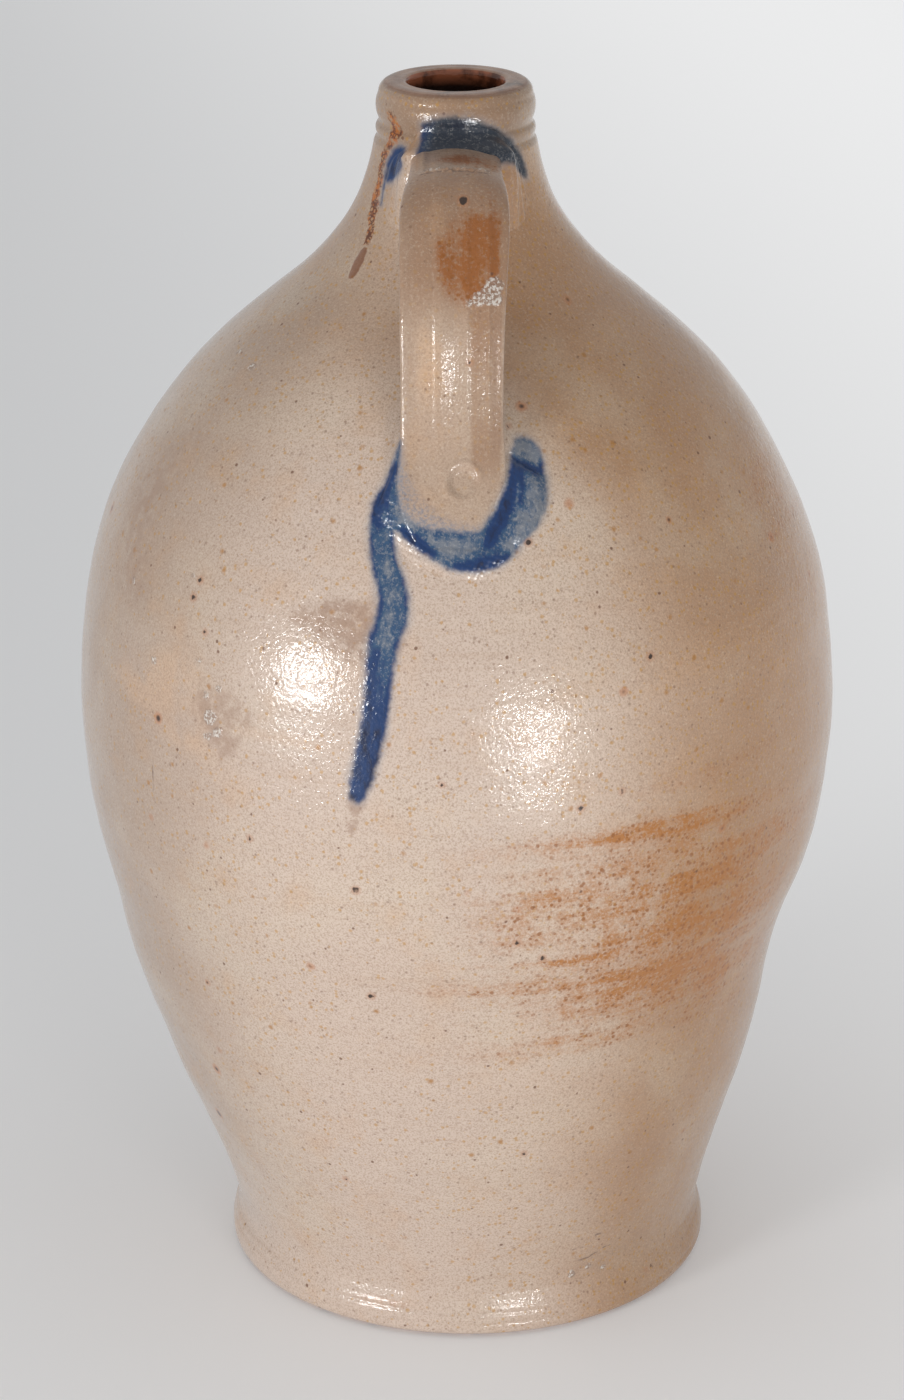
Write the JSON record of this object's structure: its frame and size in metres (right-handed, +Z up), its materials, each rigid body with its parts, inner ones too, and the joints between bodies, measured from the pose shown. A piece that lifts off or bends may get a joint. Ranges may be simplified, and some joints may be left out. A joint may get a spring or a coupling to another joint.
{
  "type": "stoneware jug",
  "caption": "Ovoid salt-glazed stoneware jug with a narrow collared mouth, a strap handle from neck to shoulder and a small flared foot.",
  "frame": {"origin": "on the ground, under the middle of the belly", "axes": "+Z up along the jug, -Y towards the strap handle, +X to the right when facing the handle"},
  "size_m": [0.2332, 0.2332, 0.38],
  "materials": {
    "body_glaze": "gloss",
    "collar_glaze": "satin",
    "strap_glaze": "gloss",
    "cobalt_glaze": "gloss"
  },
  "bodies": {
    "root": {"lower_body": "body_glaze", "upper_body": "body_glaze", "mouth_collar": "collar_glaze", "handle_strap": "strap_glaze", "handle_upper_lute": "cobalt_glaze", "handle_lower_lute": "cobalt_glaze"}
  },
  "joints": []
}
